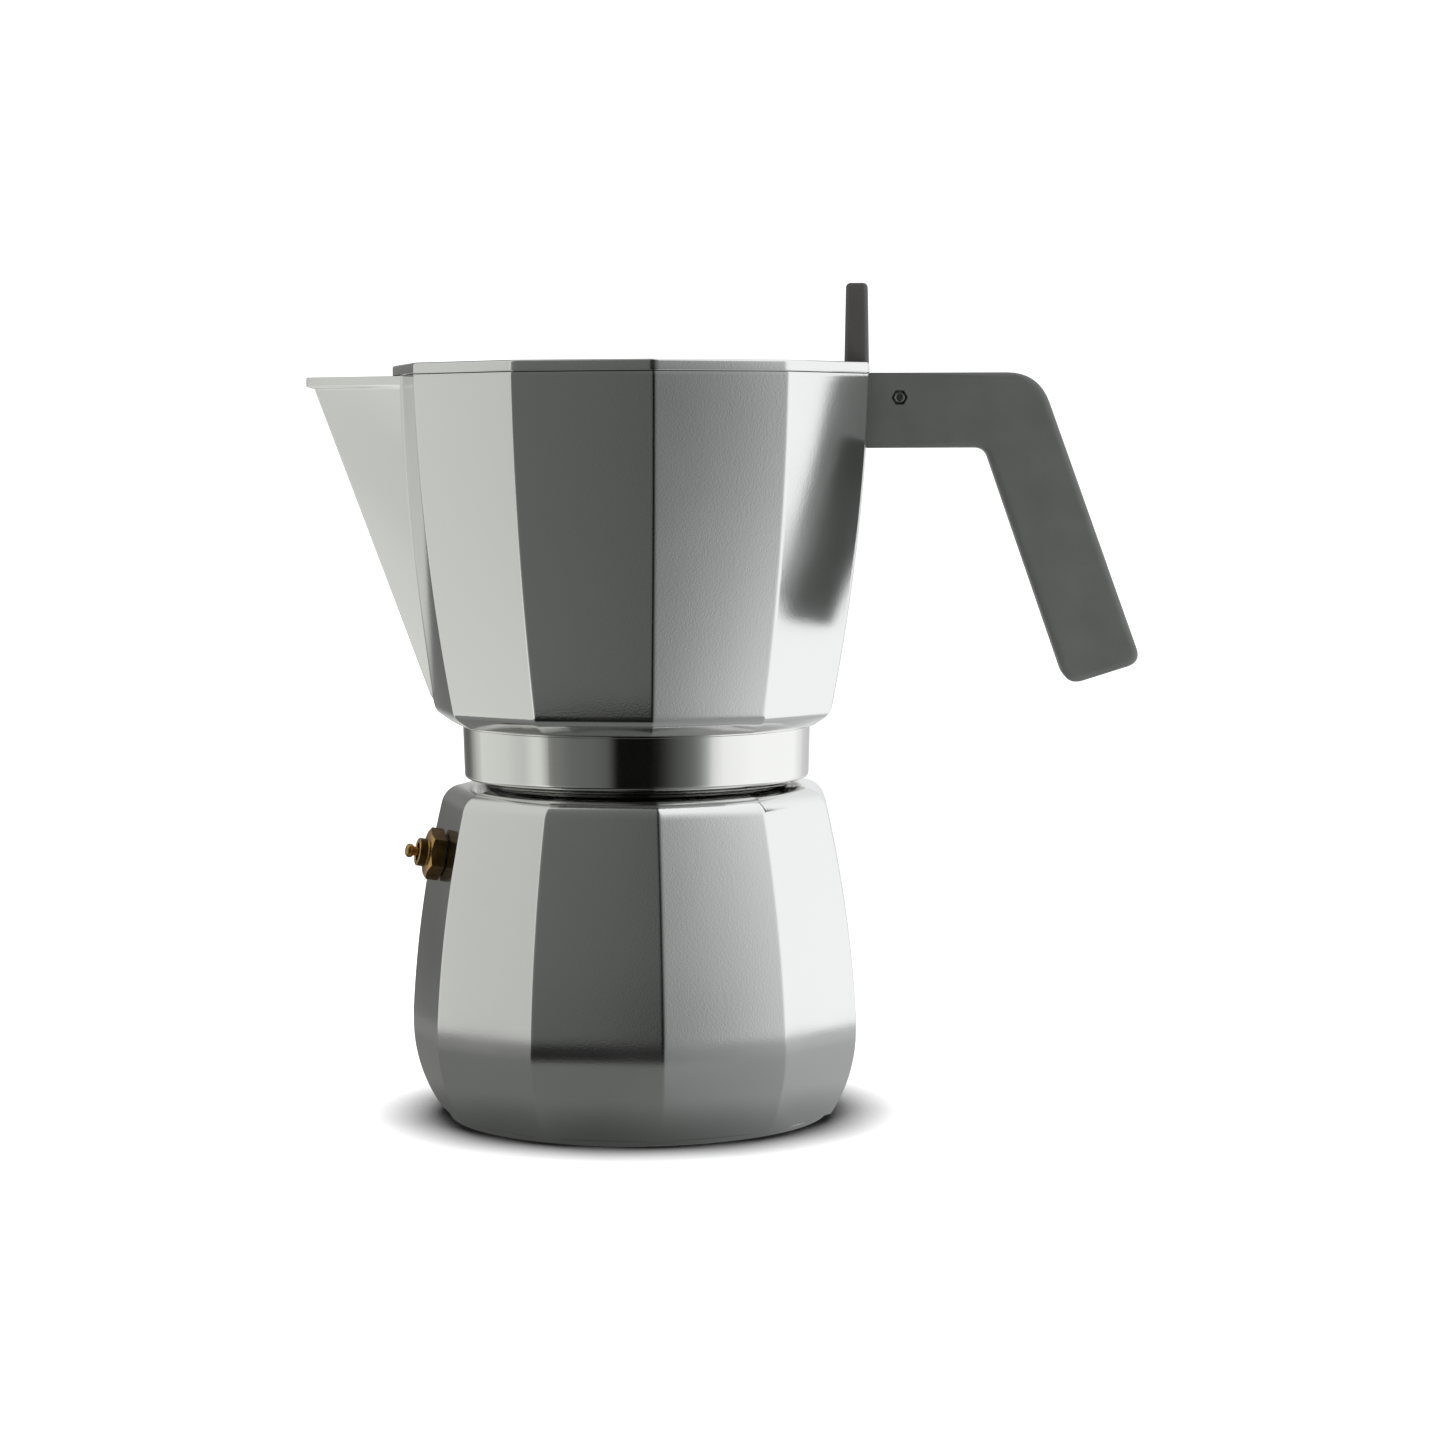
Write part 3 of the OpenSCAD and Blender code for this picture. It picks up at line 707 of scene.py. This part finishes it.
def collector_mesh():
    """The whole jug in one loft. The screw collar's faces get the second material."""
    under = [(9, 98.2), (9.2, 98), (29.7, 98), (30, 97.7), (30, 96.4), (36.9, 96.4), (37.1, 96.2),
             (37.1, 92), (37.3, 91.8), (38.75, 91.8), (38.95, 91.6), (38.95, 83), (39.6, 82.2),
             (40.2, 81.8), (40.6, 81.75)]
    collar = edge_arc(40.6, 81.75, 1.0, -90, -2, 5) + [
        (41.61, 82.9), (41.62, 83.2), (41.63, 83.6), (41.92, 93.4), (41.93, 93.7), (41.94, 94.0),
        (41.94, 94.15), (41.7, 94.3), (41.7, 94.5), (42.0, 94.7)]
    low_edge = edge_arc(collector_r(TURN_IN), TURN_IN, 3.4, -12, -54, 6)
    turn_in = [(44.0, 94.72), (44.6, 94.8), (45.1, 95.05)] + list(reversed(low_edge))
    bm = bmesh.new()
    rings = [round_ring(r, z) for r, z in under + collar]
    collar_faces = len(rings) - 1
    rings += [outline(polygon(r), z, corner_reach=0.42, crown=CROWN) for r, z in turn_in]
    wall_steps = [99.8, 100.5, 101.2, 102.2] + heights(103.6, 174.4, 26)
    lip_steps = [LIP_Z + up for up in (-0.4, -0.01, 0.06, 0.2, 0.4, 0.6, 0.8, 1.3, 1.8, 2.2)]
    rings += [outside(z) for z in wall_steps + lip_steps]
    rings += [outside(rim_z - 0.06, 0.04), outside(rim_z, 0.15), inside(rim_z, wall - 0.25),
              inside(rim_z - 0.25, wall)]
    rings += [inside(z) for z in reversed(heights(104, 177, 22))]
    rings += [inside(101.4, wall + 0.5), inside(100.5, wall + 1.4), inside(FLOOR_Z, wall + 3)]
    rings += [round_ring(r, FLOOR_Z) for r in (34, 20, 9.3)] + [round_ring(9, 99.7), round_ring(9, 98.2)]
    faces = loft(bm, rings)
    for face in faces[:collar_faces * len(BEARINGS)]:
        face.material_index = 1
    return bm


bm = collector_mesh()
shaded(bm)
collector = piece(bm, "collector_casting", "collector", [cast, turned], ["collector"])

bm = bmesh.new()
screw_ridge(bm, root=38.95, crest=38.1, low=83.2, turns=2)
shaded(bm, 30)
piece(bm, "collar_thread", "collector", [turned])

# %% [markdown]
# ## Tang for the handle
# Behind the rim the casting carries a tang with two ears. The handle is pushed over it, the hinge bolt
# goes through all of it, and the lid's arm swings between the ears.

# %% Tang
TANG_HALF = 4.6                              # half its width
TANG_NEAR, TANG_FAR = 54.5, 72.8             # from inside the jug's wall to the end in the handle
TANG_LOW, TANG_HIGH = 163.5, 176.5
TANG_GAP = 0.15                              # room for the tang inside the handle
SLOT_END, SLOT_FLOOR = 70.8, 169.0           # the slot that the lid's arm swings in
bm = bmesh.new()
bmesh.ops.create_cube(bm, size=1)
bmesh.ops.scale(bm, vec=(TANG_FAR - TANG_NEAR, 2 * TANG_HALF, TANG_HIGH - TANG_LOW), verts=bm.verts)
bmesh.ops.translate(bm, vec=((TANG_FAR + TANG_NEAR) / 2, 0, (TANG_HIGH + TANG_LOW) / 2), verts=bm.verts)
bmesh.ops.bevel(bm, geom=bm.edges[:], offset=0.6, segments=2, profile=0.5, affect="EDGES", material=-1)
tang = piece(bm, "handle_tang", "collector", [cast], weighted=True)
cut(tang, [block((50, -SLOT_HALF, SLOT_FLOOR), (SLOT_END, SLOT_HALF, 180))])
cut(collector, [block((50, -SLOT_HALF, SLOT_FLOOR), (60, SLOT_HALF, 180))])

# %% [markdown]
# ## Column
# Coffee rises through a tapered column in the middle of the jug and leaves by two slots under its cap.

# %% Column
COLUMN_TOP = frame_mm("column_cap")[0].z + 1.4
bm = bmesh.new()
lathe(bm, softened([(2.8, 98), (8.98, 98), (8.98, 100), (14.5, 100.02), (12.6, 101.2),
                    (7.6, COLUMN_TOP - 6), (7.2, COLUMN_TOP), (5.0, COLUMN_TOP), (5.0, COLUMN_TOP - 6),
                    (2.8, COLUMN_TOP - 6), (2.8, 98)],
                   [0, 0.2, 0.1, 0.5, 2.0, 4, 0.3, 0.2, 0.2, 0.2, 0]), 64)
shaded(bm, 30)
column = piece(bm, "column_casting", "collector", [cast], ["column"])
cut(column, [block((-15, -1.6, COLUMN_TOP - 5), (15, 1.6, COLUMN_TOP - 1.5))])

bm = bmesh.new()
lathe(bm, softened([(0, COLUMN_TOP - 1.4), (4.95, COLUMN_TOP - 1.4), (4.95, COLUMN_TOP + 0.05),
                    (7.2, COLUMN_TOP + 0.05), (7.0, COLUMN_TOP + 0.9), (5.4, COLUMN_TOP + 1.9),
                    (0, COLUMN_TOP + 2.05)], [0, 0.1, 0.1, 0.2, 0.6, 1.4, 0]), 64)
shaded(bm, 30)
piece(bm, "column_cap_pressed", "collector", [cast], ["column_cap"])

# %% [markdown]
# ## Handle
# The handle is one nylon moulding: an arm level with the rim and a grip that slants outwards. Its
# outline is a polygon with a soft bend at each corner. Its long edges are rounded by 1.8 mm for the hand.

# %% Handle
HANDLE_ROUND = 1.8
HANDLE_SLOT = SLOT_HALF + 0.1                # the nylon stands back a little from the arm's slot
HANDLE_CORNERS = [(56.2, 178.4, 0.5), (96.3, 178.4, 7.6), (120.9, 109.6, 3.6), (103.2, 104.0, 4.0),
                  (83.7, 160.6, 2.4), (55.35, 160.6, 0.5)]


def bent(corners, steps=8):
    """Outline through corners of (x, z, reach), each replaced by a soft curve."""
    points = [Vector((x, z, 0)) for x, z, _ in corners]
    path = []
    for i, (_, _, reach) in enumerate(corners):
        path += soft_corner(points[i - 1], points[i], points[(i + 1) % len(points)], reach, steps)
    return [(p.x, p.y) for p in path]


bm = bmesh.new()
extruded(bm, bent(HANDLE_CORNERS), handle_half)
rims = [e for e in bm.edges if abs(e.verts[0].co.y - e.verts[1].co.y) < 0.01
        and max(v.co.x for v in e.verts) > 58]
bmesh.ops.bevel(bm, geom=rims, offset=HANDLE_ROUND, segments=5, profile=0.5, affect="EDGES", material=-1)
shaded(bm, 50)
handle = piece(bm, "handle_moulding", "collector", [handle_nylon], ["handle"], weighted=True)
cut(handle, [block((50, -HANDLE_SLOT, SLOT_FLOOR), (SLOT_END, HANDLE_SLOT, 190)),
             block((50, -TANG_HALF - TANG_GAP, TANG_LOW - TANG_GAP),
                   (TANG_FAR + TANG_GAP, TANG_HALF + TANG_GAP, TANG_HIGH + TANG_GAP))])

# %% [markdown]
# ## Hinge nut
# The near end of the hinge bolt is held by a small round nut that is sunk in a hexagon in the handle.

# %% Hinge nut and its pocket
NUT_SUNK = 0.6                               # how deep the nut's middle lies in the handle's side
POCKET_R, POCKET_DEEP = 1.95, 1.3            # the moulded hexagon round it
bm = bmesh.new()
lathe(bm, softened([(0.85, -0.9), (1.5, -0.9), (1.5, -0.1), (1.12, 0.3), (1.0, 0.34), (0.85, 0.1),
                    (0.85, -0.9)], 0.06), 40)
bmesh.ops.rotate(bm, matrix=Matrix.Rotation(math.pi / 2, 3, "X"), verts=bm.verts)
bmesh.ops.translate(bm, vec=(hinge.x, NUT_SUNK - handle_half, hinge.z), verts=bm.verts)
shaded(bm, 30)
piece(bm, "hinge_nut_ring", "collector", [steel], ["hinge_nut"])

bm = bmesh.new()
bmesh.ops.create_cone(bm, cap_ends=True, segments=6, radius1=POCKET_R * MM, radius2=POCKET_R * MM,
                      depth=2 * POCKET_DEEP * MM)
bmesh.ops.rotate(bm, matrix=Matrix.Rotation(math.pi / 6, 3, "Z"), verts=bm.verts)
bmesh.ops.rotate(bm, matrix=Matrix.Rotation(math.pi / 2, 3, "X"), verts=bm.verts)
bmesh.ops.translate(bm, vec=(hinge.x * MM, -handle_half * MM, hinge.z * MM), verts=bm.verts)
cut(handle, [object_of(bm, "cutter")])
print("nut pocket cut")

# %% [markdown]
# ## Lid
# The lid is a flat-sided plate with a small round on its top edge. Below it a lip finds the inside of
# the rim, and an arm reaches out through the slot to the hinge bolt.

# %% Lid
LID_LOW = rim_z + 0.15
bm = bmesh.new()
rings = [round_ring(r, LID_LOW + 1.2) for r in (0.06, 20, 48)]
rings += [outline(polygon(r), z, corner_reach=reach, crown=CROWN if r > 58 else 0) for r, z, reach in (
    (52.2, LID_LOW + 1.2, 1), (52.6, LID_LOW + 1.1, 1), (52.8, LID_LOW - 1.2, 1), (53.0, LID_LOW - 1.5, 1),
    (53.8, LID_LOW - 1.5, 1), (54.0, LID_LOW - 1.3, 1), (54.0, LID_LOW - 0.1, 1), (54.2, LID_LOW, 1),
    (rim_r - 0.2, LID_LOW, 1.1), (rim_r, LID_LOW + 0.2, 1.1), (rim_r, lid_top - 0.6, 1.1),
    (rim_r - 0.1, lid_top - 0.3, 1.1), (rim_r - 0.3, lid_top - 0.1, 1.1), (rim_r - 0.6, lid_top, 1.1),
    (rim_r - 1.2, lid_top, 1.1))]
rings += [round_ring(r, lid_top) for r in (50, 20, 0.06)]
loft(bm, rings)
close_middle(bm, LID_LOW + 1.2)
close_middle(bm, lid_top)
shaded(bm, 35)
piece(bm, "lid_casting", "lid", [cast], ["lid"])

ARM = [(49.6, 176.7, 0.8), (56.5, 172.6, 2), (61, 169.7, 1), (66.3, 169.7, 2.2), (66.3, 175.2, 2.2),
       (56.2, 177.95, 1), (52, 179.2, 0.5), (49.6, 179.2, 0.5)]
bm = bmesh.new()
extruded(bm, bent(ARM, 5), 1.8)
rims = [e for e in bm.edges if abs(e.verts[0].co.y - e.verts[1].co.y) < 0.01]
bmesh.ops.bevel(bm, geom=rims, offset=0.35, segments=2, profile=0.5, affect="EDGES", material=-1)
shaded(bm, 50)
piece(bm, "lid_arm", "lid", [cast], weighted=True)

# %% [markdown]
# ## Thumb tab
# The tab stands upright on the lid beside the handle, where the thumb finds it. It is a slim nylon block
# with a slight taper, round top edges and round corners.

# %% Thumb tab
bm = bmesh.new()
bmesh.ops.create_cube(bm, size=1)
size = tab_high - tab_low
bmesh.ops.scale(bm, vec=size, verts=bm.verts)
bmesh.ops.translate(bm, vec=(tab_low + tab_high) / 2, verts=bm.verts)
for vert in bm.verts:
    if vert.co.z > lid_top + 5:
        vert.co.x += 0.4 if vert.co.x < tab_low.x + 2 else -0.25
uprights = [e for e in bm.edges if abs(e.verts[0].co.z - e.verts[1].co.z) > 5]
bmesh.ops.bevel(bm, geom=uprights, offset=1.3, segments=5, profile=0.5, affect="EDGES", material=-1)
top = [e for e in bm.edges if min(v.co.z for v in e.verts) > tab_high.z - 0.1]
bmesh.ops.bevel(bm, geom=top, offset=1.1, segments=5, profile=0.5, affect="EDGES", material=-1)
shaded(bm, 50)
piece(bm, "thumb_tab_moulding", "lid", [tab_nylon], ["thumb_tab"], weighted=True)

# %% [markdown]
# ## Finishes of the small parts
# The funnel, strainers, seals, spring and bolt have the right shape already, so they only get a finish.

# %% Finishes of the frame's own nodes
for names, material in ((("funnel_screen", "filter_plate", "funnel_cup", "funnel_tube"), spun),
                        (("valve_seat",), brass), (("valve_spring", "hinge_bolt"), steel),
                        (("gasket",), white_silicone), (("valve_seal",), red_silicone),
                        (("valve_washer",), fibre)):
    for name in names:
        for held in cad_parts[name].material_slots:
            held.material = material
print("finishes given")

# %% [markdown]
# ## Camera
# The camera stands a little under a metre in front of the pot, level with the handle's arm, and looks
# down by a few degrees. Its long lens keeps the eleven sides upright.

# %% Camera
LENS, SENSOR = 87.1, 36.0                    # millimetres
EYE = (0.0587, -0.8409, 0.1605)
HEADING = (-0.0451, 0.9990, 0)
LOOK_DOWN, ROLL = math.radians(4.4735), math.radians(-0.2)


def camera():
    """The camera at the eye, aimed down from its heading."""
    data = bpy.data.cameras.new("camera")
    data.lens = LENS
    data.sensor_width = SENSOR
    made = bpy.data.objects.new("camera", data)
    ahead = Vector(HEADING).normalized() * math.cos(LOOK_DOWN)
    ahead.z = -math.sin(LOOK_DOWN)
    made.location = EYE
    level = ahead.to_track_quat("-Z", "Y").to_matrix()
    made.rotation_euler = (level @ Matrix.Rotation(ROLL, 3, "Z")).to_euler()
    bpy.context.scene.collection.objects.link(made)
    bpy.context.scene.camera = made


bpy.context.scene.view_settings.view_transform = "Standard"
camera()
print("camera at", EYE)

# %% [markdown]
# ## Table and soft light
# The table is white and glows a little, so it stays pale under any light. Its contact shadow is painted
# shade: an ambient occlusion node darkens its colour and its glow over the last two centimetres beside
# the foot. One soft square light, low on the right, lifts the outer side of the handle's grip.

# %% Table and soft light


def table():
    """A pale table with a painted contact shadow. Reflections pass through it to the studio's own walls."""
    bm = bmesh.new()
    bmesh.ops.create_grid(bm, x_segments=1, y_segments=1, size=4)
    made = object_of(bm, "floor")
    material, tree, shader, place = finish_of("pale table", Roughness=1.0)
    shader.inputs["Specular IOR Level"].default_value = 0.0
    # Painted contact shadow: ambient occlusion sets how dark the colour and the glow are beside the foot.
    near = add(tree, "ShaderNodeAmbientOcclusion", {"Distance": 0.022}, samples=12).outputs["AO"]
    shade = add(tree, "ShaderNodeMapRange", {"Value": near, "From Min": 0.36, "From Max": 0.9,
                                             "To Min": 0.02, "To Max": 0.95}).outputs["Result"]
    for socket in ("Base Color", "Emission Color"):
        tree.links.new(shade, shader.inputs[socket])
    shader.inputs["Emission Strength"].default_value = 0.3
    made.data.materials.append(material)
    made.visible_glossy = False


def soft_light(name, place, aim, size, power):
    """A square light that soft surfaces see and reflections do not."""
    data = bpy.data.lights.new(name, "AREA")
    data.size = size
    data.energy = power
    made = bpy.data.objects.new(name, data)
    made.location = place
    made.rotation_euler = (Vector(aim) - Vector(place)).to_track_quat("-Z", "Z").to_euler()
    made.visible_glossy = False
    bpy.context.scene.collection.objects.link(made)


soft_light("grip light", (0.25, -0.25, 0.05), (0.105, 0, 0.12), 0.15, 0.45)
table()
print("table and light ready")

# %% [markdown]
# ## Walls that reflections see
# A metal pot shows its studio more than itself. Each flat mirrors its own slice of the room, so the room
# is a ring of grey walls: each stop gives a bearing in degrees, which is 0 behind the camera and grows
# to the right, and a brightness. There is one ring above the pot, one level with it and one below, and
# a ray's rise picks between them. Soft light and the camera see plain white instead.

# %% Walls that reflections see
HIGH_WALLS = (
    (-179, 0.9), (-165, 0.3), (-157, 0.22), (-142, 0.24), (-125, 0.75), (-92, 0.74), (-84, 0.68),
    (-76, 0.64), (-67, 0.84), (-60, 0.8), (-53, 0.26), (-40, 0.2), (-22, 0.15), (-13, 0.115),
    (-8, 0.015), (12, 0.015), (20, 0.08), (38, 0.2), (46, 0.32), (49.6, 0.52), (53, 0.72), (60, 1.12),
    (90, 1.2), (124, 1.2), (150, 1.0), (179, 0.9))
LEVEL_WALLS = (
    (-179, 0.9), (-168, 0.5), (-158, 0.16), (-150, 0.13), (-142, 0.16), (-121, 0.8), (-92, 0.76),
    (-84, 0.68), (-76, 0.64), (-68, 0.8), (-63, 0.76), (-56, 0.23), (-40, 0.15), (-25, 0.145),
    (-16, 0.11), (-9, 0.003), (18, 0.003), (24, 0.04), (34, 0.115), (42, 0.17), (46, 0.26), (50, 0.46),
    (55, 0.85), (63, 1.1), (90, 1.22), (132, 1.2), (150, 0.75), (165, 0.6), (179, 0.9))
LOW_WALLS = (
    (-179, 0.9), (-150, 0.66), (-121, 0.9), (-92, 0.82), (-84, 0.78), (-74, 0.92), (-68, 1.1),
    (-61, 1.5), (-52, 0.5), (-30, 0.17), (-16, 0.122), (-9, 0.01), (12, 0.01), (20, 0.09), (36, 0.13),
    (42, 0.235), (46, 0.38), (50, 0.68), (55, 1.0), (63, 1.15), (90, 1.22), (124, 1.22), (179, 0.9))
TO_HIGH = (-0.06, 0.12)                      # rise of the rays that pass from the level to the high ring
TO_LOW = (-0.08, -0.46)                      # and from the level to the low ring
SKY = 1.25                                   # strength of the plain white that soft light sees


def bearing_of(tree, vector):
    """Bearing of a direction as 0-1: the middle is the camera's side, and more is to the right."""
    parts = add(tree, "ShaderNodeSeparateXYZ", {"Vector": vector}).outputs
    front = add(tree, "ShaderNodeMath", {0: parts["Y"], 1: -1.0}, operation="MULTIPLY").outputs[0]
    angle = add(tree, "ShaderNodeMath", {0: parts["X"], 1: front}, operation="ARCTAN2").outputs[0]
    share = add(tree, "ShaderNodeMapRange", {"Value": angle, "From Min": -math.pi, "From Max": math.pi})
    return share.outputs["Result"]


def cast_of(degrees):
    """Slight colour of the studio's walls: warm on the left, green-grey in front and cool on the right."""
    if degrees < -50:
        return 0.985, 0.965
    if degrees < 25:
        return 0.96, 0.96
    return (0.955, 0.985) if degrees < 52 else (0.99, 1.01)


def walls(tree, turn, stops):
    """Grey walls round the pot from (bearing in degrees, brightness) stops."""
    node = add(tree, "ShaderNodeValToRGB", {"Fac": turn})
    ramp = node.color_ramp
    while len(ramp.elements) < len(stops):
        ramp.elements.new(1.0)
    for element, (degrees, grey) in zip(ramp.elements, stops):
        element.position = (degrees + 180) / 360
        red, blue = cast_of(degrees)
        element.color = (grey * red, grey, grey * blue, 1)
    return node.outputs["Color"]


def blend(tree, value, start, end, first, second):
    """Mixes two colours while a value goes from start to end."""
    share = add(tree, "ShaderNodeMapRange", {"Value": value, "From Min": start, "From Max": end},
                interpolation_type="SMOOTHSTEP").outputs["Result"]
    mix = add(tree, "ShaderNodeMix", {"Factor": share}, data_type="RGBA")
    tree.links.new(first, mix.inputs["A"])
    tree.links.new(second, mix.inputs["B"])
    return mix.outputs["Result"]


def studio():
    """White to the camera and to soft light, and a ring of bright and dark walls to reflections."""
    made = bpy.data.worlds.new("studio")
    bpy.context.scene.world = made
    made.use_nodes = True
    tree = made.node_tree
    way = add(tree, "ShaderNodeTexCoord").outputs["Generated"]
    turn = bearing_of(tree, way)
    rise = add(tree, "ShaderNodeSeparateXYZ", {"Vector": way}).outputs["Z"]
    upper = blend(tree, rise, *TO_HIGH, walls(tree, turn, LEVEL_WALLS), walls(tree, turn, HIGH_WALLS))
    whole = blend(tree, rise, *TO_LOW, upper, walls(tree, turn, LOW_WALLS))
    seen = add(tree, "ShaderNodeLightPath").outputs["Is Glossy Ray"]
    mirrored = tree.nodes["Background"]
    tree.links.new(whole, mirrored.inputs["Color"])
    plain = add(tree, "ShaderNodeBackground", {"Color": (1, 1, 1, 1), "Strength": SKY}).outputs[0]
    mixed = add(tree, "ShaderNodeMixShader", {"Fac": seen, 1: plain, 2: mirrored.outputs[0]})
    tree.links.new(mixed.outputs[0], tree.nodes["World Output"].inputs["Surface"])


studio()
print("walls:", len(HIGH_WALLS), len(LEVEL_WALLS), len(LOW_WALLS), "stops")

# %% [markdown]
# ## Table that reflections see
# The flats lean, so they mirror the table as well. The table's reflection is painted on a glowing round
# card with three rings of tone: painted shadow of the pot beside the foot, a ring round it, and the far
# table out to the horizon that its edge draws low in the flats.

# %% Table that reflections see
CARD_R, CARD_Y = 214, -42                    # the card's radius and centre, in mm
# Painted shadow of the pot in the table's reflection, darkest beside the foot.
FOOT_SHADOW_CARD = (
    (-179, 0.15), (-110, 0.1), (-41, 0.085), (-8, 0.07), (12, 0.085), (25, 0.12), (45, 0.17),
    (57, 0.24), (110, 0.3), (179, 0.2))
NEAR_CARD = (
    (-179, 0.25), (-150, 0.2), (-110, 0.2), (-41, 0.185), (-8, 0.165), (12, 0.19), (25, 0.26),
    (45, 0.33), (57, 0.42), (110, 0.5), (179, 0.4))
FAR_CARD = (
    (-179, 0.25), (-150, 0.22), (-110, 0.25), (-76, 0.25), (-58, 0.2), (-47, 0.08), (-40, 0.01),
    (15, 0.01), (24, 0.12), (36, 0.24), (50, 0.4), (85, 0.52), (120, 0.6), (179, 0.5))
TO_NEAR, TO_FAR = (0.044, 0.066), (0.122, 0.15)     # metres from the axis where one ring meets the next


def painted_table_reflection():
    """A round card under the pot that glows with a painted reflection of the table. Only reflections see it.
    """
    bm = bmesh.new()
    bmesh.ops.create_circle(bm, cap_ends=True, segments=96, radius=CARD_R * MM)
    bmesh.ops.translate(bm, vec=(0, CARD_Y * MM, 0.1 * MM), verts=bm.verts)
    made = object_of(bm, "painted_table_reflection")
    material, tree, shader, place = finish_of("glowing card of painted table reflection", Roughness=1.0)
    shader.inputs["Base Color"].default_value = (0, 0, 0, 1)
    shader.inputs["Specular IOR Level"].default_value = 0.0
    turn = bearing_of(tree, place)
    reach = add(tree, "ShaderNodeVectorMath", {0: place}, operation="LENGTH").outputs["Value"]
    near = blend(tree, reach, *TO_NEAR, walls(tree, turn, FOOT_SHADOW_CARD), walls(tree, turn, NEAR_CARD))
    glow = blend(tree, reach, *TO_FAR, near, walls(tree, turn, FAR_CARD))
    # The glow is the painted reflection of the table, with painted shadow beside the foot.
    tree.links.new(glow, shader.inputs["Emission Color"])
    shader.inputs["Emission Strength"].default_value = 1.0
    made.data.materials.append(material)
    made.visible_camera = made.visible_diffuse = made.visible_shadow = False


painted_table_reflection()
print("card of", CARD_R, "mm ready")
